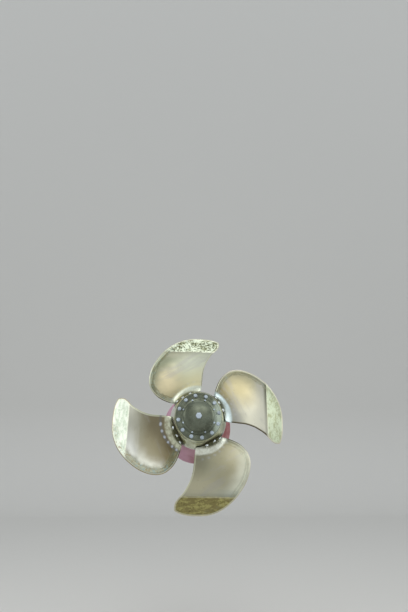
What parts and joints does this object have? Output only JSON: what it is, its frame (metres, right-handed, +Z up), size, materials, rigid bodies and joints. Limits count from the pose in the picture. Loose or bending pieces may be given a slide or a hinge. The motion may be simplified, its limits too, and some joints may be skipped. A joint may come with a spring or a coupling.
{
  "type": "controllable-pitch ship propeller",
  "caption": "Left-handed controllable-pitch ship propeller with bent-tip bronze blades bolted to a hub, on its tail shaft with seal, rope guard and stern boss.",
  "frame": {"origin": "on the flat forward face of the stern boss, straight below the shaft's centre line", "axes": "+Y forward along the shaft, out of the boss's flat face; -Y astern, where the propeller is; +Z up; +X to starboard as seen from astern"},
  "size_m": [2.5998, 1.8928, 2.5998],
  "materials": {
    "blade_bronze": "ground and polished nickel aluminium bronze, pale gold with a thin grey-green tarnish",
    "hub_bronze": "machined nickel aluminium bronze, dull grey-green",
    "seal_bronze": "turned bronze",
    "hull_paint": "matt red antifouling paint on cast and rolled steel",
    "shaft_steel": "turned forged steel",
    "bearing_metal": "dull white metal",
    "tube_iron": "bare cast iron"
  },
  "bodies": {
    "stern": {"stern_boss": "hull_paint", "stern_tube": "tube_iron", "stern_tube_bearing": "bearing_metal", "seal_flange_ring": "seal_bronze", "seal_middle_ring": "seal_bronze", "seal_cover_ring": "seal_bronze", "rope_guard_upper": "hull_paint", "rope_guard_lower": "hull_paint", "guard_strap_left": "hull_paint", "guard_strap_right": "hull_paint"},
    "propeller": {"tail_shaft": "shaft_steel", "shaft_liner": "shaft_steel", "hub_body": "hub_bronze", "hub_cylinder": "hub_bronze", "hub_end_cover": "hub_bronze", "hub_cap": "hub_bronze", "cap_plug": "hub_bronze"},
    "blade_1_body": {"blade_1": "blade_bronze"},
    "blade_2_body": {"blade_2": "blade_bronze"},
    "blade_3_body": {"blade_3": "blade_bronze"},
    "blade_4_body": {"blade_4": "blade_bronze"}
  },
  "joints": [
    {"name": "propeller_spin", "type": "hinge", "parent": "stern", "child": "propeller", "pos_m": [0, -1.3, 0.42], "axis": [0, -1, 0], "continuous": true},
    {"name": "blade_1_pitch", "type": "hinge", "parent": "propeller", "child": "blade_1_body", "pos_m": [0, -1.3, 0.42], "axis": [0.8829, 0, 0.4695], "range_deg": [-22, 20]},
    {"name": "blade_2_pitch", "type": "hinge", "parent": "propeller", "child": "blade_2_body", "pos_m": [0, -1.3, 0.42], "axis": [-0.4695, 0, 0.8829], "range_deg": [-22, 20]},
    {"name": "blade_3_pitch", "type": "hinge", "parent": "propeller", "child": "blade_3_body", "pos_m": [0, -1.3, 0.42], "axis": [-0.8829, 0, -0.4695], "range_deg": [-22, 20]},
    {"name": "blade_4_pitch", "type": "hinge", "parent": "propeller", "child": "blade_4_body", "pos_m": [0, -1.3, 0.42], "axis": [0.4695, 0, -0.8829], "range_deg": [-22, 20]}
  ],
  "couplings": [
    {"joint": "blade_2_pitch", "follows": "blade_1_pitch", "ratio": 1},
    {"joint": "blade_3_pitch", "follows": "blade_1_pitch", "ratio": 1},
    {"joint": "blade_4_pitch", "follows": "blade_1_pitch", "ratio": 1}
  ]
}
